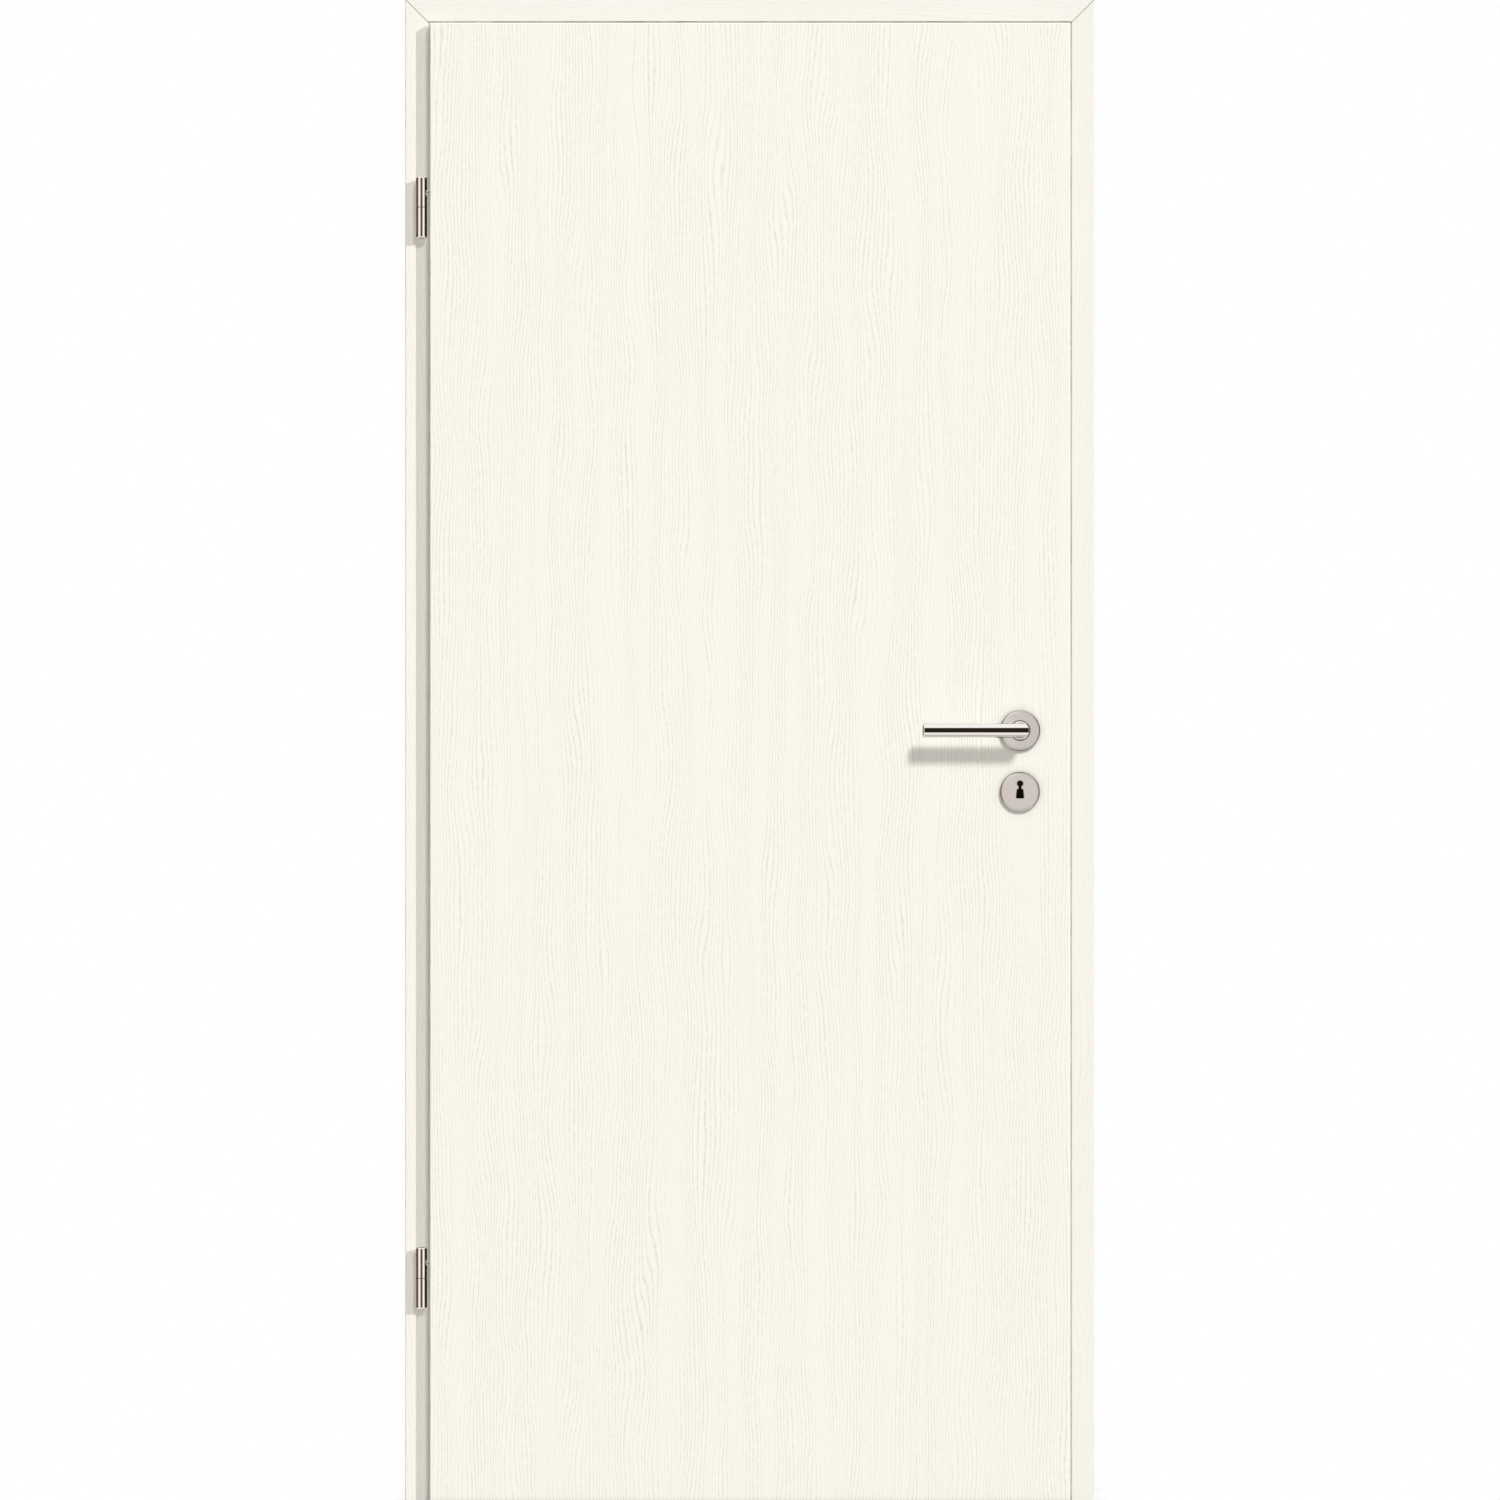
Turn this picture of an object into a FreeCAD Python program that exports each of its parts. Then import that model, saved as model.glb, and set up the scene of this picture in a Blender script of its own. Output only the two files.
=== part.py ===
import FreeCAD, Part
import math
import os
from FreeCAD import Vector

# An interior door: a rebated timber leaf on two pin hinges, in a lined and
# cased timber frame, with a lever set on round plates and a keyed lock.
#
# Millimetres, +Z up. The leaf opens towards -Y and is hinged on the -X side.
# The origin is on the outer face of the hinge-side jamb, at floor level, half
# way through the wall.

# Leaf
leaf_width = 860.0
leaf_height = 1985.0
leaf_thickness = 40.0
lip_width = 13.0
lip_thickness = 14.5
skin_thickness = 3.5
leaf_edge_radius = 2.0
stile_width = 45.0
top_rail_height = 45.0
bottom_rail_height = 70.0

# Gaps round the leaf
side_gap = 6.0
top_gap = 6.0
floor_gap = 5.0
lip_gap = 5.0
seal_space = 4.5

# Frame
liner_thickness = 25.0
stop_width = 17.5
wall_thickness = 140.0
front_face_width = 40.5
front_architrave_thickness = 18.0
back_architrave_width = 55.0
back_architrave_thickness = 16.0
architrave_radius = 1.2
rebate_edge_radius = 0.5
tongue_inset = 8.0
tongue_thickness = 6.0
tongue_depth = 20.0
groove_spare_depth = 6.0
joint_clearance = 0.1

# Seal in the corner of the stop
seal_width = 10.0
seal_from_corner = 0.3
seal_to_leaf = 0.3
seal_radius = 1.8
seal_foot_width = 3.0
seal_foot_depth = 6.0

# Hinges
hinge_from_top = 247.5
hinge_from_bottom = 300.0
knuckle_diameter = 15.0
knuckle_length = 41.0
knuckle_end_radius = 2.5
knuckle_gap = 0.9
hinge_offset = 11.0
pin_diameter = 8.0
pin_engagement = 30.0
pin_clearance = 0.05
leaf_bolt_diameter = 7.0
leaf_bolt_length = 45.0
leaf_bolt_height = 20.0
frame_bolt_diameter = 8.0
frame_bolt_height = 20.0
bolt_clearance = 0.05

# Steel angle behind the front architrave that takes a hinge's frame bolt
bracket_height = 80.0
bracket_plate_thickness = 8.0
bracket_leg_thickness = 3.0
bracket_leg_length = 45.0
bracket_edge_margin = 8.0
bracket_clearance = 0.2

# Lock
backset = 55.0
spindle_below_top = 950.0
key_below_spindle = 82.0
case_thickness = 15.0
case_behind_spindle = 29.0
case_above_spindle = 58.0
case_below_key = 35.0
case_clearance = 0.3
forend_width = 20.0
forend_thickness = 3.0
forend_overrun = 35.0
latch_thickness = 10.0
latch_height = 34.0
latch_above_spindle = 12.0
dead_bolt_thickness = 9.0
dead_bolt_height = 36.0
dead_bolt_above_key = 36.0
bolt_tail_gap = 5.0
bolt_hole_clearance = 0.3
lock_stile_margin = 18.0

# Strike plate
strike_width = 22.0
strike_height = 170.0
strike_thickness = 2.0
strike_hole_clearance = 0.7
strike_rim = 1.5
strike_pocket_depth = 16.0

# Lever set
bar_diameter = 19.0
lever_length = 131.5
lever_projection = 58.5
lever_end_radius = 2.0
collar_diameter = 25.2
collar_rise = 1.5
collar_depth = 5.0
neck_flare_share = 0.97
spindle_size = 8.0
spindle_engagement = 28.0
spindle_clearance = 0.05
follower_diameter = 20.0
follower_clearance = 0.08
spindle_bore_diameter = 22.0

# Round plates on the leaf
lever_rosette_diameter = 54.0
key_rosette_diameter = 53.0
rosette_height = 8.5
rosette_edge_radius = 3.5
guide_ring_width = 1.2
guide_ring_clearance = 0.08
guide_ring_recess = 0.4

# Keyhole
keyhole_head_above_centre = 11.0
keyhole_head_radius = 4.2
keyhole_waist_above_centre = 4.5
keyhole_waist_width = 3.8
keyhole_skirt_top_above_centre = 2.8
keyhole_skirt_top_width = 8.7
keyhole_skirt_bottom_width = 10.8
keyhole_skirt_depth = 9.0
keyhole_corner_radius = 1.5
keyhole_edge_chamfer = 0.5
key_slot_spare = 1.0
tumbler_thickness = 2.0

# Levels of the layers through the wall, along Y
wall_face_y = -wall_thickness / 2
front_architrave_y = wall_face_y - front_architrave_thickness
lip_back_y = front_architrave_y - lip_gap
leaf_front_y = lip_back_y - lip_thickness
leaf_back_y = leaf_front_y + leaf_thickness
stop_y = leaf_back_y + seal_space
wall_back_y = wall_face_y + wall_thickness

# Places across the doorway, along X
passage_left = liner_thickness
passage_width = leaf_width - 2 * lip_width + 2 * side_gap - 2 * stop_width
passage_right = passage_left + passage_width
centre_x = (passage_left + passage_right) / 2
rebate_left = passage_left - stop_width
leaf_left = rebate_left + side_gap
lip_left = leaf_left - lip_width
leaf_right = 2 * centre_x - leaf_left
rebate_right = 2 * centre_x - rebate_left
lip_right = 2 * centre_x - lip_left

# Levels up the doorway, along Z
leaf_bottom = floor_gap
lip_top = leaf_bottom + leaf_height
leaf_top = lip_top - lip_width
rebate_top = leaf_top + top_gap
passage_top = rebate_top - stop_width
hinge_levels = {
    "upper": lip_top - hinge_from_top,
    "lower": leaf_bottom + hinge_from_bottom,
}

# Hinge axis
hinge_x = lip_left - hinge_offset
hinge_y = leaf_front_y + lip_thickness / 2

# Lock places
spindle_x = leaf_right - backset
spindle_z = lip_top - spindle_below_top
key_z = spindle_z - key_below_spindle
lock_y = (lip_back_y + leaf_back_y) / 2
case_left = spindle_x - case_behind_spindle
case_top = spindle_z + case_above_spindle
case_bottom = key_z - case_below_key
latch_z = spindle_z + latch_above_spindle
latch_left = spindle_x + follower_diameter / 2 + bolt_tail_gap
dead_bolt_z = key_z + dead_bolt_above_key
dead_bolt_left = spindle_x + keyhole_skirt_bottom_width / 2 + key_slot_spare + bolt_tail_gap
strike_front_y = lock_y - latch_thickness / 2 - strike_hole_clearance - strike_rim
lock_stile_left = case_left - lock_stile_margin


def box(x0, x1, y0, y1, z0, z1):
    return Part.makeBox(x1 - x0, y1 - y0, z1 - z0, Vector(x0, y0, z0))


def rod(diameter, length, start, direction):
    return Part.makeCylinder(diameter / 2, length, start, direction)


def rounded_face(corners, place):
    """Face inside the corners (a, b, radius), which place(a, b) sets in space."""
    flat = [Vector(a, b, 0) for a, b, radius in corners]
    tangents = []
    for i, (a, b, radius) in enumerate(corners):
        here = flat[i]
        back = (flat[i - 1] - here).normalize()
        ahead = (flat[(i + 1) % len(flat)] - here).normalize()
        if radius == 0:
            tangents.append((here, None, here))
            continue
        half_angle = back.getAngle(ahead) / 2
        reach = radius / math.tan(half_angle)
        to_arc = radius / math.sin(half_angle) - radius
        middle = here + (back + ahead).normalize() * to_arc
        tangents.append((here + back * reach, middle, here + ahead * reach))
    edges = []
    for i, (first, middle, last) in enumerate(tangents):
        following = tangents[(i + 1) % len(tangents)][0]
        if middle is not None:
            points = [place(p.x, p.y) for p in (first, middle, last)]
            edges.append(Part.Arc(*points).toShape())
        if (following - last).Length > 1e-6:
            edges.append(Part.makeLine(place(last.x, last.y), place(following.x, following.y)))
    return Part.Face(Part.Wire(edges))


def turned(corners):
    """Solid turned about +Z from the corners (distance from the axis, height, radius)."""
    face = rounded_face(corners, lambda a, b: Vector(a, 0, b))
    return face.revolve(Vector(0, 0, 0), Vector(0, 0, 1), 360)


def prism(points, place, along):
    """Straight-sided solid from the flat points (a, b)."""
    return rounded_face([(a, b, 0) for a, b in points], place).extrude(along)


def one_solid(shape):
    """The single solid of a shape, with faces that share a surface merged."""
    merged = shape.removeSplitter()
    return merged.Solids[0]


def to_lock_side(shape):
    return shape.mirror(Vector(centre_x, 0, 0), Vector(1, 0, 0))


def facing_front(shape, x, z):
    """A shape made about +Z on z = 0, set on the leaf's front face."""
    placed = shape.copy()
    placed.rotate(Vector(0, 0, 0), Vector(1, 0, 0), 90)
    placed.translate(Vector(x, leaf_front_y, z))
    return placed


def facing_back(shape, x, z):
    """The same on the leaf's back face."""
    placed = shape.copy()
    placed.rotate(Vector(0, 0, 0), Vector(1, 0, 0), -90)
    placed.translate(Vector(x, leaf_back_y, z))
    return placed


# Frame members

mitre_reach = stop_width + front_face_width + back_architrave_width
depth_front = leaf_front_y - lip_thickness
depth_back = wall_back_y + 2 * back_architrave_thickness


def corner_wedge(above):
    """Half of the space round the top hinge-side corner, split on the mitre."""
    outer = passage_left - mitre_reach
    inner = passage_left + mitre_reach
    low = passage_top - mitre_reach
    high = passage_top + mitre_reach
    third = (inner, high) if above else (outer, low)
    points = [(inner, low), (outer, high), third]
    return prism(
        points,
        lambda a, b: Vector(a, depth_front, b),
        Vector(0, depth_back - depth_front, 0),
    )


def three_sides(corners):
    """Hinge, lock and head members of one section, mitred at the top corners.

    The section's corners are (distance out from the passage, y, radius).
    """
    upright = rounded_face(corners, lambda out, y: Vector(passage_left - out, y, 0))
    upright = upright.extrude(Vector(0, 0, passage_top + mitre_reach))
    hinge_side = one_solid(upright.cut(corner_wedge(above=True)))
    start = passage_left - mitre_reach
    head = rounded_face(corners, lambda out, y: Vector(start, y, passage_top + out))
    head = head.extrude(Vector(passage_width + 2 * mitre_reach, 0, 0))
    left_end = corner_wedge(above=False)
    head = one_solid(head.cut([left_end, to_lock_side(left_end)]))
    return hinge_side, to_lock_side(hinge_side), head


def jamb_section():
    groove_in = tongue_inset - joint_clearance
    groove_out = tongue_inset + tongue_thickness + joint_clearance
    groove_y = wall_back_y - tongue_depth - groove_spare_depth
    slot_middle = stop_width - seal_from_corner - seal_width / 2
    slot_in = slot_middle - seal_foot_width / 2 - joint_clearance
    slot_out = slot_middle + seal_foot_width / 2 + joint_clearance
    slot_y = stop_y + seal_foot_depth + joint_clearance
    return [
        (0, stop_y, architrave_radius / 2),
        (slot_in, stop_y, 0),
        (slot_in, slot_y, 0),
        (slot_out, slot_y, 0),
        (slot_out, stop_y, 0),
        (liner_thickness, stop_y, 0),
        (liner_thickness, wall_back_y, 0),
        (groove_out, wall_back_y, 0),
        (groove_out, groove_y, 0),
        (groove_in, groove_y, 0),
        (groove_in, wall_back_y, 0),
        (0, wall_back_y, 0),
    ]


def front_architrave_section():
    outer = stop_width + front_face_width
    return [
        (stop_width, front_architrave_y, rebate_edge_radius),
        (outer, front_architrave_y, architrave_radius),
        (outer, wall_face_y, 0),
        (liner_thickness, wall_face_y, 0),
        (liner_thickness, stop_y, 0),
        (stop_width, stop_y, 0),
    ]


def back_architrave_section():
    face_y = wall_back_y + back_architrave_thickness
    tongue_y = wall_back_y - tongue_depth
    tongue_out = tongue_inset + tongue_thickness
    return [
        (0, face_y, architrave_radius),
        (0, wall_back_y, 0),
        (tongue_inset, wall_back_y, 0),
        (tongue_inset, tongue_y, 0),
        (tongue_out, tongue_y, 0),
        (tongue_out, wall_back_y, 0),
        (back_architrave_width, wall_back_y, 0),
        (back_architrave_width, face_y, architrave_radius),
    ]


def seal_section():
    outer = stop_width - seal_from_corner
    inner = outer - seal_width
    middle = (outer + inner) / 2
    front_y = leaf_back_y + seal_to_leaf
    foot_y = stop_y + seal_foot_depth
    return [
        (inner, front_y, seal_radius),
        (outer, front_y, seal_radius),
        (outer, stop_y, 0),
        (middle + seal_foot_width / 2, stop_y, 0),
        (middle + seal_foot_width / 2, foot_y, 0),
        (middle - seal_foot_width / 2, foot_y, 0),
        (middle - seal_foot_width / 2, stop_y, 0),
        (inner, stop_y, 0),
    ]


# Hinges and what they sit in

def bracket(level, spare):
    """Steel angle let in behind the architrave, or its recess with spare room."""
    low = level - knuckle_length - spare
    high = low + bracket_height + 2 * spare
    left = hinge_x - frame_bolt_diameter / 2 - bracket_edge_margin - spare
    leg_right = bracket_leg_thickness + spare
    plate_front = wall_face_y - bracket_plate_thickness - spare
    plate = box(left, leg_right, plate_front, wall_face_y, low, high)
    leg_end = bracket_leg_length + spare
    leg = box(0, leg_right, plate_front, wall_face_y + leg_end, low, high)
    return one_solid(plate.fuse(leg))


def frame_bolt(level, spare):
    """Bolt from a hinge's frame knuckle straight back to its bracket."""
    start = Vector(hinge_x, hinge_y, level - frame_bolt_height)
    length = wall_face_y - hinge_y
    return rod(frame_bolt_diameter + 2 * spare, length, start, Vector(0, 1, 0))


def leaf_bolt(level, spare):
    """Bolt from a hinge's leaf knuckle into the leaf's lip and stile."""
    start = Vector(hinge_x, hinge_y, level + leaf_bolt_height)
    length = leaf_bolt_length + spare
    return rod(leaf_bolt_diameter + 2 * spare, length, start, Vector(1, 0, 0))


def frame_knuckle(level):
    """Lower half of a hinge, with the pin that the leaf turns on."""
    radius = knuckle_diameter / 2
    bottom = -knuckle_length
    body = turned([
        (0, bottom, 0),
        (radius, bottom, knuckle_end_radius),
        (radius, -knuckle_gap / 2, 0),
        (pin_diameter / 2, -knuckle_gap / 2, 0),
        (pin_diameter / 2, pin_engagement, pin_diameter / 8),
        (0, pin_engagement, 0),
    ])
    body.translate(Vector(hinge_x, hinge_y, level))
    return one_solid(body.fuse(frame_bolt(level, 0)))


def leaf_knuckle(level):
    """Upper half of a hinge, bored for the pin."""
    radius = knuckle_diameter / 2
    bore_radius = pin_diameter / 2 + pin_clearance
    bore_top = pin_engagement + knuckle_gap
    body = turned([
        (bore_radius, knuckle_gap / 2, 0),
        (radius, knuckle_gap / 2, 0),
        (radius, knuckle_length, knuckle_end_radius),
        (0, knuckle_length, 0),
        (0, bore_top, 0),
        (bore_radius, bore_top, 0),
    ])
    body.translate(Vector(hinge_x, hinge_y, level))
    bolt = leaf_bolt(level, 0)
    bore = rod(
        2 * bore_radius,
        bore_top,
        Vector(hinge_x, hinge_y, level),
        Vector(0, 0, 1),
    )
    return one_solid(body.fuse(bolt.cut(bore)))


# Lock

def lock_case():
    front_y = lock_y - case_thickness / 2
    back_y = lock_y + case_thickness / 2
    right = leaf_right - forend_thickness
    case = box(case_left, right, front_y, back_y, case_bottom, case_top)
    follower_bore = rod(
        follower_diameter + 2 * follower_clearance,
        case_thickness,
        Vector(spindle_x, front_y, spindle_z),
        Vector(0, 1, 0),
    )
    return case.cut([
        follower_bore,
        key_slot(front_y, lock_y - tumbler_thickness / 2),
        key_slot(lock_y + tumbler_thickness / 2, back_y),
        latch(bolt_hole_clearance),
        dead_bolt(bolt_hole_clearance),
    ])


def case_pocket():
    front_y = lock_y - case_thickness / 2 - case_clearance
    back_y = lock_y + case_thickness / 2 + case_clearance
    return box(
        case_left - case_clearance,
        leaf_right,
        front_y,
        back_y,
        case_bottom - case_clearance,
        case_top + case_clearance,
    )


def forend_blank(spare):
    front_y = lock_y - forend_width / 2 - spare
    back_y = lock_y + forend_width / 2 + spare
    low = case_bottom - forend_overrun - spare
    high = case_top + forend_overrun + spare
    return box(leaf_right - forend_thickness, leaf_right, front_y, back_y, low, high)


def latch(spare):
    """Latch bolt, drawn back until its nose is flush with the forend."""
    half = latch_thickness / 2 + spare
    low = latch_z - latch_height / 2 - spare
    high = latch_z + latch_height / 2 + spare
    left = latch_left - spare
    return box(left, leaf_right, lock_y - half, lock_y + half, low, high)


def dead_bolt(spare):
    """Dead bolt, drawn back flush with the forend."""
    half = dead_bolt_thickness / 2 + spare
    low = dead_bolt_z - dead_bolt_height / 2 - spare
    high = dead_bolt_z + dead_bolt_height / 2 + spare
    left = dead_bolt_left - spare
    return box(left, leaf_right, lock_y - half, lock_y + half, low, high)


def forend():
    return forend_blank(0).cut([latch(bolt_hole_clearance), dead_bolt(bolt_hole_clearance)])


def key_slot(y0, y1):
    """Plain slot behind the keyhole, a little larger than it all round."""
    half = keyhole_skirt_bottom_width / 2 + key_slot_spare
    low = key_z - keyhole_skirt_depth - key_slot_spare
    high = key_z + keyhole_head_above_centre + keyhole_head_radius + key_slot_spare
    return box(spindle_x - half, spindle_x + half, y0, y1, low, high)


def spindle_bore(y0, y1):
    start = Vector(spindle_x, y0, spindle_z)
    return rod(spindle_bore_diameter, y1 - y0, start, Vector(0, 1, 0))


def strike_z():
    """Middle of the strike plate, half way between the two bolts."""
    return (latch_z + dead_bolt_z) / 2


def strike_blank(spare):
    low = strike_z() - strike_height / 2 - spare
    high = strike_z() + strike_height / 2 + spare
    front_y = strike_front_y - spare
    back_y = strike_front_y + strike_width + spare
    return box(rebate_right, rebate_right + strike_thickness, front_y, back_y, low, high)


def strike_pockets():
    """Holes that the latch and the dead bolt shoot into."""
    pockets = []
    sizes = [
        (latch_thickness, latch_height, latch_z),
        (dead_bolt_thickness, dead_bolt_height, dead_bolt_z),
    ]
    for thickness, height, level in sizes:
        half = thickness / 2 + strike_hole_clearance
        low = level - height / 2 - strike_hole_clearance
        high = level + height / 2 + strike_hole_clearance
        right = rebate_right + strike_pocket_depth
        pockets.append(box(rebate_right, right, lock_y - half, lock_y + half, low, high))
    return pockets


# Leaf

core_front_y = leaf_front_y + skin_thickness
core_back_y = leaf_back_y - skin_thickness
top_rail_low = leaf_top - top_rail_height
bottom_rail_high = leaf_bottom + bottom_rail_height
stile_right = leaf_left + stile_width


def front_skin():
    radius = min(leaf_edge_radius, 0.95 * skin_thickness)
    skin = box(lip_left, lip_right, leaf_front_y, core_front_y, leaf_bottom, lip_top)
    outer_edges = []
    for edge in skin.Edges:
        middle = edge.CenterOfMass
        on_front = abs(middle.y - leaf_front_y) < 1e-3
        at_floor = abs(middle.z - leaf_bottom) < 1e-3
        if on_front and not at_floor:
            outer_edges.append(edge)
    skin = skin.makeFillet(radius, outer_edges)
    return skin.cut([
        spindle_bore(leaf_front_y, core_front_y),
        key_slot(leaf_front_y, core_front_y),
    ] + leaf_bolt_holes())


def back_skin():
    skin = box(leaf_left, leaf_right, core_back_y, leaf_back_y, leaf_bottom, leaf_top)
    return skin.cut([
        spindle_bore(core_back_y, leaf_back_y),
        key_slot(core_back_y, leaf_back_y),
        forend_blank(joint_clearance),
    ])


def leaf_bolt_holes():
    return [leaf_bolt(level, bolt_clearance) for level in hinge_levels.values()]


def hinge_lip():
    lip = box(lip_left, leaf_left, core_front_y, lip_back_y, leaf_bottom, lip_top)
    return lip.cut(leaf_bolt_holes())


def lock_lip():
    return box(leaf_right, lip_right, core_front_y, lip_back_y, leaf_bottom, lip_top)


def top_lip():
    return box(leaf_left, leaf_right, core_front_y, lip_back_y, leaf_top, lip_top)


def hinge_stile():
    stile = box(leaf_left, stile_right, core_front_y, core_back_y, leaf_bottom, leaf_top)
    return stile.cut(leaf_bolt_holes())


def lock_stile():
    stile = box(lock_stile_left, leaf_right, core_front_y, core_back_y, leaf_bottom, leaf_top)
    return stile.cut([
        case_pocket(),
        forend_blank(joint_clearance),
        spindle_bore(core_front_y, core_back_y),
        key_slot(core_front_y, core_back_y),
    ])


def inner_board(low, high):
    """Board of the leaf's inner frame, from stile to stile."""
    return box(stile_right, lock_stile_left, core_front_y, core_back_y, low, high)


# Lever set, each piece made about +Z with the leaf's face at z = 0

def lever():
    """Neck and grip of round bar joined on a mitre, on a flared collar."""
    bar_radius = bar_diameter / 2
    collar_radius = collar_diameter / 2
    axis_height = lever_projection - bar_radius
    collar_low = rosette_height - collar_depth
    collar_top = rosette_height + collar_rise
    flare = collar_radius - bar_radius
    flare_radius = neck_flare_share * flare * math.sqrt(2) * math.tan(math.radians(67.5))
    neck = turned([
        (0, collar_low, 0),
        (collar_radius, collar_low, 0),
        (collar_radius, collar_top, 0),
        (bar_radius, collar_top + flare, flare_radius),
        (bar_radius, lever_projection, 0),
        (0, lever_projection, 0),
    ])
    bar_length = lever_length + bar_radius
    bar = turned([
        (0, 0, 0),
        (bar_radius, 0, 0),
        (bar_radius, bar_length, lever_end_radius),
        (0, bar_length, 0),
    ])
    bar.rotate(Vector(0, 0, 0), Vector(0, 1, 0), -90)
    bar.translate(Vector(bar_radius, 0, axis_height))
    neck = neck.cut(mitre_wedge(axis_height, above=True))
    bar = bar.cut(mitre_wedge(axis_height, above=False))
    half = spindle_size / 2 + spindle_clearance
    socket_top = spindle_engagement + 2 * spindle_clearance
    socket = box(-half, half, -half, half, 0, socket_top)
    return one_solid(neck.fuse(bar)).cut(socket)


def mitre_wedge(axis_height, above):
    """Half of the space round the lever's corner, split on its mitre."""
    reach = 2 * lever_projection
    third = (-reach, reach) if above else (reach, -reach)
    return prism(
        [(-reach, -reach), (reach, reach), third],
        lambda a, b: Vector(a, -reach, axis_height + b),
        Vector(0, 2 * reach, 0),
    )


def spindle():
    half = spindle_size / 2
    return box(
        spindle_x - half,
        spindle_x + half,
        leaf_front_y - spindle_engagement,
        leaf_back_y + spindle_engagement,
        spindle_z - half,
        spindle_z + half,
    )


def follower():
    """Hub in the lock case that the spindle turns."""
    start = Vector(spindle_x, lock_y - case_thickness / 2, spindle_z)
    hub = rod(follower_diameter, case_thickness, start, Vector(0, 1, 0))
    half = spindle_size / 2 + spindle_clearance
    hole = box(
        spindle_x - half,
        spindle_x + half,
        leaf_front_y,
        leaf_back_y,
        spindle_z - half,
        spindle_z + half,
    )
    return hub.cut(hole)


def lever_rosette():
    outer = lever_rosette_diameter / 2
    inner = collar_diameter / 2 + guide_ring_clearance + guide_ring_width
    return turned([
        (inner, 0, 0),
        (outer, 0, 0),
        (outer, rosette_height, rosette_edge_radius),
        (inner, rosette_height, 0),
    ])


def guide_ring():
    """Plain bearing ring between a lever's collar and its rosette."""
    inner = collar_diameter / 2 + guide_ring_clearance
    outer = inner + guide_ring_width - bolt_clearance
    top = rosette_height - guide_ring_recess
    return turned([(inner, 0, 0), (outer, 0, 0), (outer, top, 0), (inner, top, 0)])


def keyhole_prism():
    """Keyhole: a round head over a skirt that widens downwards."""
    head = rod(
        2 * keyhole_head_radius,
        rosette_height,
        Vector(0, keyhole_head_above_centre, 0),
        Vector(0, 0, 1),
    )
    waist = keyhole_waist_width / 2
    skirt_top = keyhole_skirt_top_width / 2
    skirt_bottom = keyhole_skirt_bottom_width / 2
    throat = rounded_face(
        [
            (-waist, keyhole_head_above_centre, 0),
            (-waist, keyhole_waist_above_centre, 0),
            (-skirt_top, keyhole_skirt_top_above_centre, 0),
            (-skirt_bottom, -keyhole_skirt_depth, keyhole_corner_radius),
            (skirt_bottom, -keyhole_skirt_depth, keyhole_corner_radius),
            (skirt_top, keyhole_skirt_top_above_centre, 0),
            (waist, keyhole_waist_above_centre, 0),
            (waist, keyhole_head_above_centre, 0),
        ],
        lambda a, b: Vector(a, b, 0),
    ).extrude(Vector(0, 0, rosette_height))
    return head.fuse(throat)


def key_rosette(keyhole):
    outer = key_rosette_diameter / 2
    plate = turned([
        (0, 0, 0),
        (outer, 0, 0),
        (outer, rosette_height, rosette_edge_radius),
        (0, rosette_height, 0),
    ])
    plate = plate.cut(keyhole)
    keyhole_edges = []
    for edge in plate.Edges:
        bounds = edge.BoundBox
        on_face = abs(bounds.ZMin - rosette_height) < 1e-3 and bounds.ZLength < 1e-3
        if on_face and bounds.XLength < outer:
            keyhole_edges.append(edge)
    return plate.makeChamfer(keyhole_edge_chamfer, keyhole_edges)


# All pieces

pieces = {}

hinge_jamb, lock_jamb, head_jamb = three_sides(jamb_section())
front_hinge, front_lock, front_head = three_sides(front_architrave_section())
back_hinge, back_lock, back_head = three_sides(back_architrave_section())
seal_hinge, seal_lock, seal_head = three_sides(seal_section())

for end, level in hinge_levels.items():
    recess = bracket(level, bracket_clearance)
    bolt_hole = frame_bolt(level, bolt_clearance)
    hinge_jamb = hinge_jamb.cut(recess)
    front_hinge = front_hinge.cut([recess, bolt_hole])
    pieces[end + "_hinge_bracket"] = bracket(level, 0).cut(bolt_hole)
    pieces[end + "_frame_knuckle"] = frame_knuckle(level)
    pieces[end + "_leaf_knuckle"] = leaf_knuckle(level)

pieces["strike_plate"] = strike_blank(0).cut(strike_pockets())
pieces["hinge_jamb"] = hinge_jamb
pieces["lock_jamb"] = lock_jamb.cut(strike_blank(joint_clearance))
pieces["head_jamb"] = head_jamb
pieces["front_architrave_hinge"] = front_hinge
pieces["front_architrave_lock"] = front_lock.cut(
    [strike_blank(joint_clearance)] + strike_pockets()
)
pieces["front_architrave_head"] = front_head
pieces["back_architrave_hinge"] = back_hinge
pieces["back_architrave_lock"] = back_lock
pieces["back_architrave_head"] = back_head
pieces["seal_hinge"] = seal_hinge
pieces["seal_lock"] = seal_lock
pieces["seal_head"] = seal_head

pieces["leaf_front_skin"] = front_skin()
pieces["leaf_back_skin"] = back_skin()
pieces["leaf_hinge_stile"] = hinge_stile()
pieces["leaf_lock_stile"] = lock_stile()
pieces["leaf_top_rail"] = inner_board(top_rail_low, leaf_top)
pieces["leaf_bottom_rail"] = inner_board(leaf_bottom, bottom_rail_high)
pieces["leaf_core"] = inner_board(bottom_rail_high, top_rail_low)
pieces["leaf_hinge_lip"] = hinge_lip()
pieces["leaf_lock_lip"] = lock_lip()
pieces["leaf_top_lip"] = top_lip()
pieces["lock_case"] = lock_case()
pieces["lock_forend"] = forend()
pieces["latch_bolt"] = latch(0)
pieces["dead_bolt"] = dead_bolt(0)
pieces["front_lever_rosette"] = facing_front(lever_rosette(), spindle_x, spindle_z)
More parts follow.
